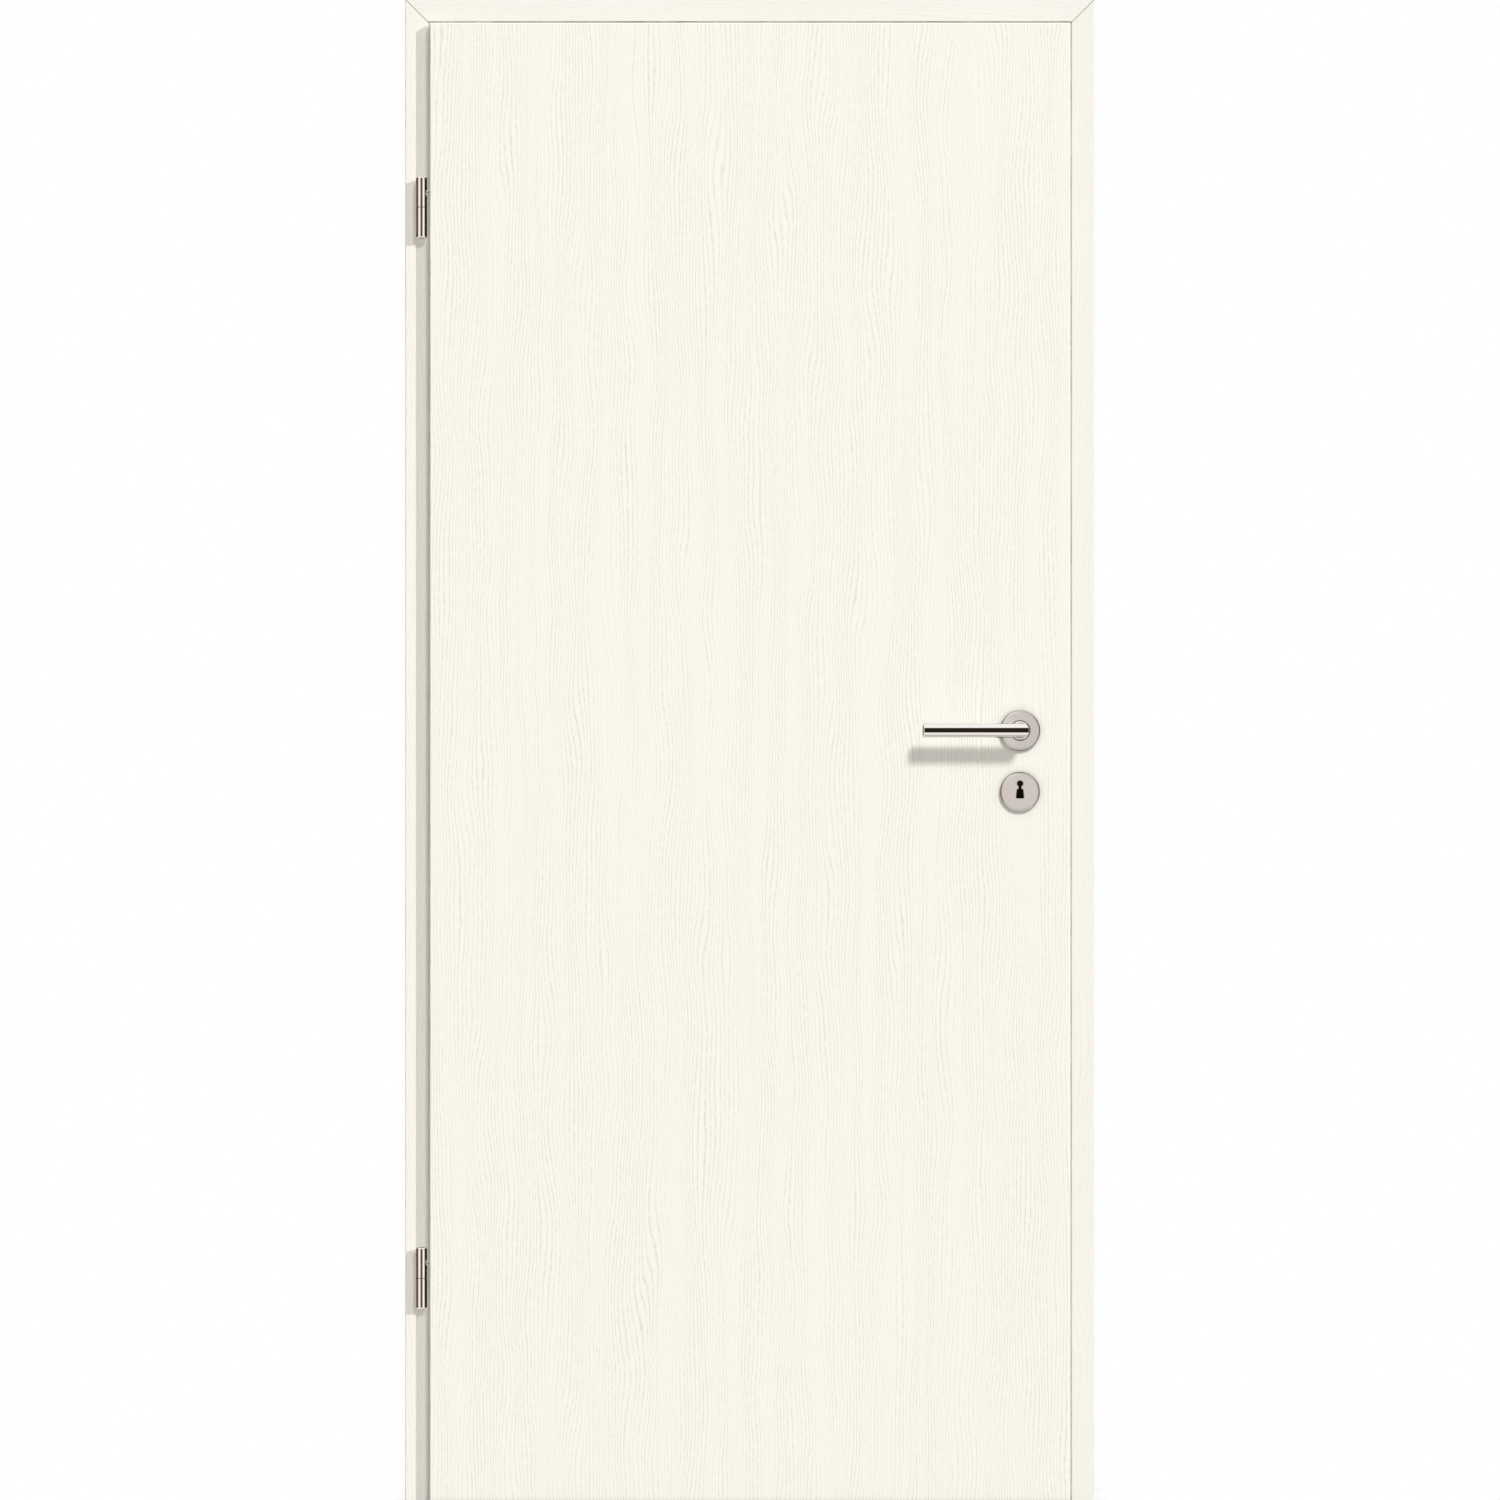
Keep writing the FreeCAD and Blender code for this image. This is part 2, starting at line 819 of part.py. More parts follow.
pieces["back_lever_rosette"] = facing_back(lever_rosette(), spindle_x, spindle_z)
pieces["front_guide_ring"] = facing_front(guide_ring(), spindle_x, spindle_z)
pieces["back_guide_ring"] = facing_back(guide_ring(), spindle_x, spindle_z)
keyhole = keyhole_prism()
turned_keyhole = keyhole.copy()
turned_keyhole.rotate(Vector(0, 0, 0), Vector(0, 0, 1), 180)
pieces["front_key_rosette"] = facing_front(key_rosette(keyhole), spindle_x, key_z)
pieces["back_key_rosette"] = facing_back(key_rosette(turned_keyhole), spindle_x, key_z)

pieces["front_lever"] = facing_front(lever(), spindle_x, spindle_z)
pieces["back_lever"] = facing_back(lever(), spindle_x, spindle_z)
pieces["lever_spindle"] = spindle()
pieces["lock_follower"] = follower()

os.makedirs("parts", exist_ok=True)
for name, shape in pieces.items():
    shape.exportStep("parts/" + name + ".step")
    volume = shape.Volume / 1000
    print(f"{name}: {len(shape.Solids)} solid, {volume:.1f} cm3, valid {shape.isValid()}")
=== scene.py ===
import math

import bmesh
import bpy
from mathutils import Matrix, Vector


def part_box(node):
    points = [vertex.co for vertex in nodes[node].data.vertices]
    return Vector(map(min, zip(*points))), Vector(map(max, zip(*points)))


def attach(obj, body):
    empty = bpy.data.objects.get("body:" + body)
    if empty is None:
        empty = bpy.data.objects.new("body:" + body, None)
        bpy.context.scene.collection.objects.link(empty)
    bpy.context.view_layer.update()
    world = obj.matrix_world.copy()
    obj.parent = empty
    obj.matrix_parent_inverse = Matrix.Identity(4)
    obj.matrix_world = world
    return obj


# Looks of an interior door: white embossed laminate on the leaf and the frame,
# a polished lever on satin plates, nickel hinges, and the fittings in the edges.
# Metres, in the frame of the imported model. The viewer stands at -Y.

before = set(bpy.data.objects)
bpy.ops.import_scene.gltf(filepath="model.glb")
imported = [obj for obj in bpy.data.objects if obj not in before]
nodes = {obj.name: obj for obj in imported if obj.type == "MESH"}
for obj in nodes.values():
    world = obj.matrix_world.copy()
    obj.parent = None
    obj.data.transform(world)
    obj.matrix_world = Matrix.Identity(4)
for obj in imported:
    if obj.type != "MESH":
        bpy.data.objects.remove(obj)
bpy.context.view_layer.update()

leaf_low, leaf_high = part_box("leaf_front_skin")
leaf_front_y = leaf_low.y
leaf_centre_x = (leaf_low.x + leaf_high.x) / 2
liner_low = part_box("hinge_jamb")[0]
liner_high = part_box("lock_jamb")[1]

# Where the photo shows the leaf, in its own pixels
PHOTO_SIZE = 1500
LEAF_LEFT_COLUMN = 429.5
LEAF_RIGHT_COLUMN = 1070.5
LEAF_TOP_ROW = 22.5
CAMERA_DISTANCE = 8.0
SENSOR_WIDTH = 36.0

# Shares of the light on the leaf's front, which add up to one
AMBIENT_LIGHT = 0.22
EDGE_LIGHT = 0.30
SOFT_LIGHT = 0.22
LEVER_LIGHT = 0.26

# Light on the back, and on the round plates alone
BACK_LIGHT = 0.60
PLATE_LIGHT = 0.064
RIM_LIGHT = 0.09
BACK_PLATE_LIGHT = 0.125


# Node helpers

CLOSENESS_SAMPLES = 8


def put(socket, value):
    """Links a socket to another one, or sets its value."""
    if isinstance(value, bpy.types.NodeSocket):
        socket.id_data.links.new(value, socket)
    else:
        socket.default_value = value


def calc(tree, operation, *values):
    node = tree.nodes.new("ShaderNodeMath")
    node.operation = operation
    for socket, value in zip(node.inputs, values):
        put(socket, value)
    return node.outputs[0]


def times(tree, first, second):
    return calc(tree, "MULTIPLY", first, second)


def blend_between(tree, value, low, high):
    """0 at low, 1 at high, and smooth between them; high may be the lower one."""
    node = tree.nodes.new("ShaderNodeMapRange")
    node.interpolation_type = "SMOOTHSTEP"
    put(node.inputs["Value"], value)
    if low < high:
        node.inputs["From Min"].default_value = low
        node.inputs["From Max"].default_value = high
        return node.outputs[0]
    node.inputs["From Min"].default_value = high
    node.inputs["From Max"].default_value = low
    node.inputs["To Min"].default_value = 1.0
    node.inputs["To Max"].default_value = 0.0
    return node.outputs[0]


def scaled(tree, point, scale):
    """The point times one number, as a vector."""
    return vector(tree, *[times(tree, part, scale) for part in point])


def stretched(tree, across, along, scales, seed):
    """A place in noise that is stretched along a board; scales are cells a metre."""
    return vector(tree, times(tree, across, scales[0]), times(tree, along, scales[1]), seed)


def vector(tree, x, y, z):
    node = tree.nodes.new("ShaderNodeCombineXYZ")
    for socket, value in zip(node.inputs, (x, y, z)):
        put(socket, value)
    return node.outputs[0]


def noise(tree, place, detail=2.0, roughness=0.5):
    node = tree.nodes.new("ShaderNodeTexNoise")
    put(node.inputs["Vector"], place)
    node.inputs["Scale"].default_value = 1.0
    node.inputs["Detail"].default_value = detail
    node.inputs["Roughness"].default_value = roughness
    return node.outputs["Fac"]


def mixed(tree, factor, first, second):
    node = tree.nodes.new("ShaderNodeMix")
    node.data_type = "RGBA"
    put(node.inputs[0], factor)
    put(node.inputs[6], first)
    put(node.inputs[7], second)
    return node.outputs[2]


def grey(level):
    return (level, level, level, 1)


def closeness(tree, distance):
    """1 in the open, and less the more there is within the distance."""
    node = tree.nodes.new("ShaderNodeAmbientOcclusion")
    node.samples = CLOSENESS_SAMPLES
    node.inputs["Distance"].default_value = distance
    return node.outputs["AO"]


def bumped(tree, height, distance, strength):
    node = tree.nodes.new("ShaderNodeBump")
    node.inputs["Distance"].default_value = distance
    node.inputs["Strength"].default_value = strength
    put(node.inputs["Height"], height)
    return node.outputs[0]


def light_level(tree, path, kinds):
    """Strength 1 to rays of these kinds, and the ambient level to the others."""
    seen = path.outputs[kinds[0]]
    for kind in kinds[1:]:
        seen = calc(tree, "ADD", seen, path.outputs[kind])
    seen = calc(tree, "MINIMUM", seen, 1)
    return calc(tree, "MULTIPLY_ADD", seen, 1 - AMBIENT_LIGHT, AMBIENT_LIGHT)


def new_material(name):
    material = bpy.data.materials.new(name)
    material.use_nodes = True
    tree = material.node_tree
    return material, tree, tree.nodes["Principled BSDF"]


def coordinates(tree):
    """The point and its normal in the row frame, each as x, y and z."""
    source = tree.nodes.new("ShaderNodeTexCoord")
    parts = []
    for output in ("Object", "Normal"):
        split = tree.nodes.new("ShaderNodeSeparateXYZ")
        put(split.inputs[0], source.outputs[output])
        parts.append(list(split.outputs))
    return parts


# Laminate

LEAF_LIGHT = (0.962, 0.940, 0.846, 1)
FRAME_LIGHT = (0.924, 0.895, 0.828, 1)
# The hinge side's frame laminate is a lighter copy, painted light to even out the shade it gets
# beside the leaf
HINGE_SIDE_PAINTED_LIGHTER = (0.952, 0.922, 0.84, 1)
LAMINATE_DARK = (0.78, 0.755, 0.63, 1)
LAMINATE_CLOUD = (0.935, 0.905, 0.845, 1)
# Dark of the mitre joints, and of the painted shade beside the leaf and close to its fittings
JOINT_AND_SHADE_DARK = (0.22, 0.185, 0.135, 1)
RAW_BOARD_LIGHT = (0.60, 0.47, 0.32, 1)
RAW_BOARD_DARK = (0.40, 0.29, 0.18, 1)
CHIPS_A_METRE = 420
RAW_SHOWS = (0.6, 0.8)

# Noise cells a metre, across and along the board
SLOW_SWAY = (9, 1.4)
QUICK_SWAY = (18, 4.4)
TREMOR = (120, 40)
FINE_PORES = (700, 40)
CLOUDS = (28, 5)

# Noise cells a ring across the board, and a metre along it
PORES = (3.7, 110)
RING_GROUPS = (0.21, 1.4)
UNEVEN_RINGS = 0.33

# Where each noise starts to show, and where it shows in full
PORES_SHOW = (0.34, 0.60)
RING_GROUPS_SHOW = (0.30, 0.62)
FINE_PORES_SHOW = (0.52, 0.80)
CLOUDS_SHOW = (0.50, 0.72)

# How far off its middle a ring's line starts and is full, in parts of a ring
RING_LINE = (0.22, 0.02)

RING_SPACING = 0.0046
RING_SWAY = 0.034
SLOW_SHARE = 0.7
TREMOR_WIDTH = 0.0022
PORE_DEPTH = 0.7
DEPTH_BETWEEN_PORES = 0.4
GROUP_DEPTH = 0.62
DEPTH_BETWEEN_GROUPS = 0.25
FINE_DEPTH = 0.14
CLOUD_STRENGTH = 0.35
GRAIN_RELIEF = 0.0003
GRAIN_RELIEF_STRENGTH = 0.3
LAMINATE_ROUGHNESS = 0.46
GRAIN_ROUGHNESS = 0.12

# The mitres pass through the liner's outer top corners: z + turn * x = meeting
MITRES = [
    (1.0, liner_high.z + liner_low.x),
    (-1.0, liner_high.z - liner_high.x),
]
# How far off the mitre its line starts and is full
MITRE_LINE = (0.0014, 0.0004)
MITRE_REACH = 0.1
MITRE_STRENGTH = 0.7

# Painted shade: a dark line on the casing beside the closed leaf, standing in for the shade of the
# gap under the leaf's edge
JOINT_SHADE_WIDTH = 0.003
JOINT_SHADE_WIDTH_ABOVE = 0.0042
JOINT_SHADE_BLUR = 0.0004
JOINT_SHADE_STRENGTH = {"hinge": 0.25, "lock": 0.58, "head": 0.80}
# The line needs the leaf this close, and starts and is full at these levels of closeness
LEAF_REACH = 0.024
LEAF_SHOWS = (0.96, 0.84)
# How unevenly the painted shade beside the leaf lies along its line
SHADE_UNEVENNESS_A_METRE = 20
SHADE_UNEVENNESS_COARSENESS = 0.75
SHADE_UNEVENNESS_LEAST = 0.2
SHADE_UNEVENNESS_RANGE = 1.6

# The shade on the leaf close to its fittings
FITTING_REACH = 0.016
FITTING_SHOWS = (1.0, 0.4)
FITTING_SHADE = 0.45


def ring_lines(tree, across, along, ring_spacing, sway, seed):
    """Growth rings where a flat face cuts them: 1 in the middle of a line.

    The lines run nearly straight along the board. Where the sway is strongest
    they turn back on themselves and close into long points.
    """
    slow = noise(tree, stretched(tree, across, along, SLOW_SWAY, seed), 1)
    quick = noise(tree, stretched(tree, across, along, QUICK_SWAY, seed + 9), 1)
    tremor = noise(tree, stretched(tree, across, along, TREMOR, seed), 1)
    shifted = calc(tree, "MULTIPLY_ADD", tremor, TREMOR_WIDTH, across)
    shifted = calc(tree, "MULTIPLY_ADD", slow, SLOW_SHARE * sway, shifted)
    shifted = calc(tree, "MULTIPLY_ADD", quick, sway, shifted)
    rings = calc(tree, "DIVIDE", shifted, ring_spacing)
    uneven = noise(tree, vector(tree, times(tree, rings, UNEVEN_RINGS), seed, 0), 1)
    rings = calc(tree, "ADD", uneven, rings)
    off_middle = calc(tree, "SUBTRACT", calc(tree, "FRACT", rings), 0.5)
    line = blend_between(tree, calc(tree, "ABSOLUTE", off_middle), *RING_LINE)
    return line, rings


def embossed_grain(tree, across, along):
    """Depth of the grain, 0 to 1: ring lines in groups, broken into short pores."""
    line, rings = ring_lines(tree, across, along, RING_SPACING, RING_SWAY, 4)
    ring_number = calc(tree, "FLOOR", rings)
    pores = noise(tree, stretched(tree, ring_number, along, PORES, 7), 2, 0.6)
    pores = blend_between(tree, pores, *PORES_SHOW)
    group = noise(tree, stretched(tree, rings, along, RING_GROUPS, 11), 2)
    group = blend_between(tree, group, *RING_GROUPS_SHOW)
    pores = calc(tree, "MULTIPLY_ADD", pores, PORE_DEPTH, DEPTH_BETWEEN_PORES)
    group = calc(tree, "MULTIPLY_ADD", group, GROUP_DEPTH, DEPTH_BETWEEN_GROUPS)
    line = times(tree, times(tree, line, pores), group)
    fine = noise(tree, stretched(tree, across, along, FINE_PORES, 5), 1)
    fine = blend_between(tree, fine, *FINE_PORES_SHOW)
    return calc(tree, "MULTIPLY_ADD", fine, FINE_DEPTH, line)


def raw_board(tree, point):
    """Pressed board where it has no laminate: flecks of light and dark chips."""
    chips = tree.nodes.new("ShaderNodeTexVoronoi")
    chips.inputs["Scale"].default_value = CHIPS_A_METRE
    put(chips.inputs["Vector"], vector(tree, *point))
    tone = tree.nodes.new("ShaderNodeSeparateColor")
    put(tone.inputs[0], chips.outputs["Color"])
    return mixed(tree, tone.outputs[0], RAW_BOARD_LIGHT, RAW_BOARD_DARK)


def along_direction(tree, normal, direction):
    """1 where the surface faces the direction."""
    total = 0.0
    for part, amount in zip(normal, direction):
        if amount:
            total = calc(tree, "MULTIPLY_ADD", part, amount, total)
    return blend_between(tree, total, *RAW_SHOWS)


def inside(tree, point, low, high):
    """1 in the box from low to high."""
    found = 1.0
    for part, start, end in zip(point, low, high):
        found = times(tree, found, calc(tree, "GREATER_THAN", part, start))
        found = times(tree, found, calc(tree, "LESS_THAN", part, end))
    return found


def contact_shade(tree, point):
    """Painted shade: 1 on the casing close to the edge of the closed leaf, while the leaf is there,
    made uneven along the line.
    """
    x, z = point[0], point[2]
    past_right = calc(tree, "SUBTRACT", x, leaf_high.x)
    past_left = calc(tree, "SUBTRACT", leaf_low.x, x)
    beside = calc(tree, "MAXIMUM", past_right, past_left)
    above = calc(tree, "SUBTRACT", z, leaf_high.z + JOINT_SHADE_WIDTH_ABOVE - JOINT_SHADE_WIDTH)
    outside = calc(tree, "MAXIMUM", beside, above)
    beside_leaf = blend_between(tree, outside, JOINT_SHADE_WIDTH + JOINT_SHADE_BLUR, JOINT_SHADE_WIDTH - JOINT_SHADE_BLUR)
    leaf_there = blend_between(tree, closeness(tree, LEAF_REACH), *LEAF_SHOWS)
    shade_unevenness = noise(tree, scaled(tree, point, SHADE_UNEVENNESS_A_METRE), 5, SHADE_UNEVENNESS_COARSENESS)
    shade_unevenness = calc(tree, "MULTIPLY_ADD", shade_unevenness, SHADE_UNEVENNESS_RANGE, SHADE_UNEVENNESS_LEAST)
    return times(tree, times(tree, beside_leaf, leaf_there), shade_unevenness)


def mitre_line(tree, point):
    """1 along the joints that run from the liner's outer top corners."""
    x, z = point[0], point[2]
    line = 0.0
    for turn, meeting in MITRES:
        off_line = calc(tree, "MULTIPLY_ADD", x, turn, calc(tree, "SUBTRACT", z, meeting))
        off_line = calc(tree, "ABSOLUTE", off_line)
        on_line = blend_between(tree, off_line, *MITRE_LINE)
        line = calc(tree, "MAXIMUM", line, on_line)
    at_top = calc(tree, "GREATER_THAN", z, liner_high.z - MITRE_REACH)
    return times(tree, line, at_top)


def laminate(name, light, grain_depth, level=False, raw_towards=(), mitred=False, joint_shade=0.0,
             shift=0.0, shaded=False, pocket=None):
    """White laminate with embossed grain, upright or level.

    raw_towards lists the directions of faces that were cut or left without laminate,
    and pocket is a box, low and high, with bare board in it.
    """
    material, tree, shader = new_material(name)
    point, normal = coordinates(tree)
    x, y, z = point
    width, length = (z, x) if level else (x, z)
    across = calc(tree, "ADD", calc(tree, "ADD", width, y), shift)
    depth = times(tree, embossed_grain(tree, across, length), grain_depth)
    colour = mixed(tree, depth, light, LAMINATE_DARK)
    clouds = noise(tree, stretched(tree, across, length, CLOUDS, 2), 2)
    clouds = blend_between(tree, clouds, *CLOUDS_SHOW)
    colour = mixed(tree, times(tree, clouds, CLOUD_STRENGTH), colour, LAMINATE_CLOUD)
    if mitred:
        line = times(tree, mitre_line(tree, point), MITRE_STRENGTH)
        colour = mixed(tree, line, colour, JOINT_AND_SHADE_DARK)
    # Painted shade on the casing beside the closed leaf
    if joint_shade:
        shade = times(tree, contact_shade(tree, point), joint_shade)
        colour = mixed(tree, shade, colour, JOINT_AND_SHADE_DARK)
    if shaded:
        shade = blend_between(tree, closeness(tree, FITTING_REACH), *FITTING_SHOWS)
        colour = mixed(tree, times(tree, shade, FITTING_SHADE), colour, JOINT_AND_SHADE_DARK)
    for direction in raw_towards:
        raw = along_direction(tree, normal, direction)
        colour = mixed(tree, raw, colour, raw_board(tree, point))
    if pocket:
        colour = mixed(tree, inside(tree, point, *pocket), colour, raw_board(tree, point))
    put(shader.inputs["Base Color"], colour)
    roughness = calc(tree, "MULTIPLY_ADD", depth, GRAIN_ROUGHNESS, LAMINATE_ROUGHNESS)
    put(shader.inputs["Roughness"], roughness)
    height = times(tree, depth, -1)
    put(shader.inputs["Normal"], bumped(tree, height, GRAIN_RELIEF, GRAIN_RELIEF_STRENGTH))
    return material


# Metals, rubber, plastic and bare wood

DULL_STEEL = (0.62, 0.58, 0.53, 1)
DULL_ROUGHNESS = 0.45
SPECKS_A_METRE = 900

# Noise cells a metre outwards and a radian around
TURNING_LINES = (5200, 2.5)
TURNING_RELIEF = 0.00002
TURNING_RELIEF_STRENGTH = 0.25
RIM_SHADE = 0.78
RIM_BLEND = 0.0015
RIM_WIDTH = 0.0032

ZINC_DARK = (0.56, 0.57, 0.58, 1)
ZINC_LIGHT = (0.70, 0.70, 0.69, 1)
ZINC_ROUGHNESS = 0.24
MOTTLE_ROUGHNESS = 0.2
MOTTLES_A_METRE = 140

PLASTIC_SHADE = 0.85
PLASTIC_RELIEF = 0.0001
WOOD_RING_SPACING = 0.004
WOOD_RING_SWAY = 0.03
WOOD_ROUGHNESS = 0.7
WOOD_RELIEF = 0.0002
SOFT_RELIEF_STRENGTH = 0.2


def metal(name, colour, roughness, spread, bump=0.0, brushed=None, rim=0.0, dull_beyond=None):
    """Metal whose gloss varies a little, with fine lines around the axis of brushed.

    A round plate has painted shade on its rounded edge, which starts at the distance rim.
    dull_beyond is (axis x, axis y, radius): past it the metal is plain and dull.
    """
    material, tree, shader = new_material(name)
    point = coordinates(tree)[0]
    shader.inputs["Base Color"].default_value = (*colour, 1)
    shader.inputs["Metallic"].default_value = 1.0
    if brushed is None:
        place = scaled(tree, point, SPECKS_A_METRE)
    else:
        from_axis = [calc(tree, "SUBTRACT", part, at) for part, at in zip(point, brushed)]
        squares = times(tree, from_axis[0], from_axis[0])
        squares = calc(tree, "MULTIPLY_ADD", from_axis[2], from_axis[2], squares)
        radius = calc(tree, "SQRT", squares)
        angle = calc(tree, "ARCTAN2", from_axis[0], from_axis[2])
        place = stretched(tree, radius, angle, TURNING_LINES, 0)
        on_rim = blend_between(tree, radius, rim, rim + RIM_BLEND)
        darker = tuple(RIM_SHADE * part for part in colour)
        put(shader.inputs["Base Color"], mixed(tree, on_rim, (*colour, 1), (*darker, 1)))
    grain = noise(tree, place, 3)
    gloss = calc(tree, "MULTIPLY_ADD", grain, spread, roughness - spread / 2)
    if dull_beyond:
        axis_x, axis_y, radius = dull_beyond
        off_x = calc(tree, "SUBTRACT", point[0], axis_x)
        off_y = calc(tree, "SUBTRACT", point[1], axis_y)
        squares = calc(tree, "MULTIPLY_ADD", off_x, off_x, times(tree, off_y, off_y))
        dull = calc(tree, "GREATER_THAN", squares, radius ** 2)
        put(shader.inputs["Base Color"], mixed(tree, dull, (*colour, 1), DULL_STEEL))
        gloss = calc(tree, "MAXIMUM", gloss, times(tree, dull, DULL_ROUGHNESS))
    put(shader.inputs["Roughness"], gloss)
    if bump:
        put(shader.inputs["Normal"], bumped(tree, grain, bump, TURNING_RELIEF_STRENGTH))
    return material


def zinc(name):
    """Plated sheet steel with a soft mottled sheen."""
    material, tree, shader = new_material(name)
    point = coordinates(tree)[0]
    mottle = noise(tree, scaled(tree, point, MOTTLES_A_METRE), 4)
    put(shader.inputs["Base Color"], mixed(tree, mottle, ZINC_DARK, ZINC_LIGHT))
    shader.inputs["Metallic"].default_value = 1.0
    roughness = calc(tree, "MULTIPLY_ADD", mottle, MOTTLE_ROUGHNESS, ZINC_ROUGHNESS)
    put(shader.inputs["Roughness"], roughness)
    return material


def soft_plastic(name, colour, roughness, grain_scale):
    material, tree, shader = new_material(name)
    point = coordinates(tree)[0]
    grain = noise(tree, scaled(tree, point, grain_scale), 3)
    darker = tuple(PLASTIC_SHADE * part for part in colour)
    put(shader.inputs["Base Color"], mixed(tree, grain, (*colour, 1), (*darker, 1)))
    shader.inputs["Roughness"].default_value = roughness
    put(shader.inputs["Normal"], bumped(tree, grain, PLASTIC_RELIEF, SOFT_RELIEF_STRENGTH))
    return material


def sawn_wood(name, colour, darker):
    """Bare softwood of the leaf's inner frame."""
    material, tree, shader = new_material(name)
    x, y, z = coordinates(tree)[0]
    across = calc(tree, "ADD", x, y)
    line = ring_lines(tree, across, z, WOOD_RING_SPACING, WOOD_RING_SWAY, 2)[0]
    put(shader.inputs["Base Color"], mixed(tree, line, (*colour, 1), (*darker, 1)))
    shader.inputs["Roughness"].default_value = WOOD_ROUGHNESS
    put(shader.inputs["Normal"], bumped(tree, line, WOOD_RELIEF, SOFT_RELIEF_STRENGTH))
    return material


lever_low, lever_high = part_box("front_lever_rosette")
lever_axis = (lever_low + lever_high) / 2
key_low, key_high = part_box("front_key_rosette")
key_axis = (key_low + key_high) / 2
knuckle_low, knuckle_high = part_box("upper_frame_knuckle")
knuckle_radius = (knuckle_high.x - knuckle_low.x) / 2
hinge_x = knuckle_low.x + knuckle_radius
hinge_y = knuckle_low.y + knuckle_radius

DOWN = (0, 0, -1)
SURFACE_MARGIN = 0.0002
LEAF_GRAIN = 1.08
JAMB_GRAIN = 0.6
CASING_GRAIN = 0.5
# Moves each side of the frame to a part of the grain of its own
GRAIN_SHIFT = 0.137
leaf_face = laminate("leaf_laminate", LEAF_LIGHT, LEAF_GRAIN, raw_towards=[DOWN], shaded=True)
inner_wood = sawn_wood("inner_wood", (0.66, 0.50, 0.31), (0.50, 0.34, 0.18))
seal_rubber = soft_plastic("seal_rubber", (0.66, 0.65, 0.61), 0.55, 700)
dark_plastic = soft_plastic("dark_plastic", (0.035, 0.03, 0.028), 0.45, 900)
past_knuckle = (hinge_x, hinge_y, knuckle_radius + SURFACE_MARGIN)
nickel = metal("polished_nickel", (0.95, 0.86, 0.77), 0.09, 0.05, dull_beyond=past_knuckle)
lever_steel = metal("polished_steel", (0.93, 0.88, 0.83), 0.09, 0.05)
plated = zinc("plated_steel")
# The lock's inner steel, spindle and follower are painted near black, as painted shade seen through
# the keyhole
lock_steel = metal("lock_steel", (0.035, 0.032, 0.030), 0.45, 0.2)
lever_rim = (lever_high.x - lever_low.x) / 2 - RIM_WIDTH
key_rim = (key_high.x - key_low.x) / 2 - RIM_WIDTH
rosette_steel = metal(
    "satin_steel_lever", (0.82, 0.765, 0.72), 0.42, 0.10,
    bump=TURNING_RELIEF, brushed=lever_axis, rim=lever_rim,
)
key_steel = metal(
    "satin_steel_key", (0.86, 0.80, 0.755), 0.42, 0.10,
    bump=TURNING_RELIEF, brushed=key_axis, rim=key_rim,
)

finishes = {
    "leaf_front_skin": leaf_face,
    "leaf_back_skin": leaf_face,
    "leaf_hinge_lip": leaf_face,
    "leaf_lock_lip": leaf_face,
    "leaf_top_lip": leaf_face,
    "leaf_hinge_stile": leaf_face,
    "leaf_lock_stile": leaf_face,
    "leaf_top_rail": leaf_face,
    "leaf_bottom_rail": inner_wood,
    "leaf_core": inner_wood,
    "lock_case": lock_steel,
    "lock_follower": lock_steel,
    "lever_spindle": lock_steel,
    "lock_forend": plated,
    "latch_bolt": plated,
    "dead_bolt": plated,
    "strike_plate": plated,
    "front_lever": lever_steel,
    "back_lever": lever_steel,
    "front_lever_rosette": rosette_steel,
    "back_lever_rosette": rosette_steel,
    "front_key_rosette": key_steel,
    "back_key_rosette": key_steel,
    "front_guide_ring": dark_plastic,
    "back_guide_ring": dark_plastic,
}
for end in ("upper", "lower"):
    finishes[end + "_hinge_bracket"] = plated
    finishes[end + "_frame_knuckle"] = nickel
    finishes[end + "_leaf_knuckle"] = nickel

# The strike plate's recess and the pockets behind it, with a little room all round
RECESS_INSET = 0.0003
RECESS_ROOM = 0.0005
POCKET_DEPTH = 0.016
strike_low, strike_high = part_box("strike_plate")
strike_recess = (
    strike_low + Vector((RECESS_INSET, -RECESS_ROOM, -RECESS_ROOM)),
    strike_high + Vector((POCKET_DEPTH, RECESS_ROOM, RECESS_ROOM)),
)
outwards = {"hinge": (-1, 0, 0), "lock": (1, 0, 0), "head": (0, 0, 1)}
to_wall = {"front": (0, 1, 0), "back": (0, -1, 0)}
for number, (side, out) in enumerate(outwards.items()):
    cut_ends = [] if side == "head" else [DOWN]
    shift = GRAIN_SHIFT * (number + 1)
    finishes["seal_" + side] = seal_rubber
    level = side == "head"
    # The hinge side gets the lighter copy of the frame laminate, as painted light
    light = HINGE_SIDE_PAINTED_LIGHTER if side == "hinge" else FRAME_LIGHT
    pocket = strike_recess if side == "lock" else None
    finishes[side + "_jamb"] = laminate(
        side + "_jamb_laminate", light, JAMB_GRAIN, level, [out] + cut_ends,
        mitred=True, shift=shift, pocket=pocket,
    )
    for face, inward in to_wall.items():
        # Only the front casings get painted shade beside the closed leaf
        joint_shade = JOINT_SHADE_STRENGTH[side] if face == "front" else 0.0
        finishes[f"{face}_architrave_{side}"] = laminate(
            f"{face}_{side}_laminate", light, CASING_GRAIN, level, [inward] + cut_ends,
            mitred=True, joint_shade=joint_shade, shift=shift, pocket=pocket,
        )

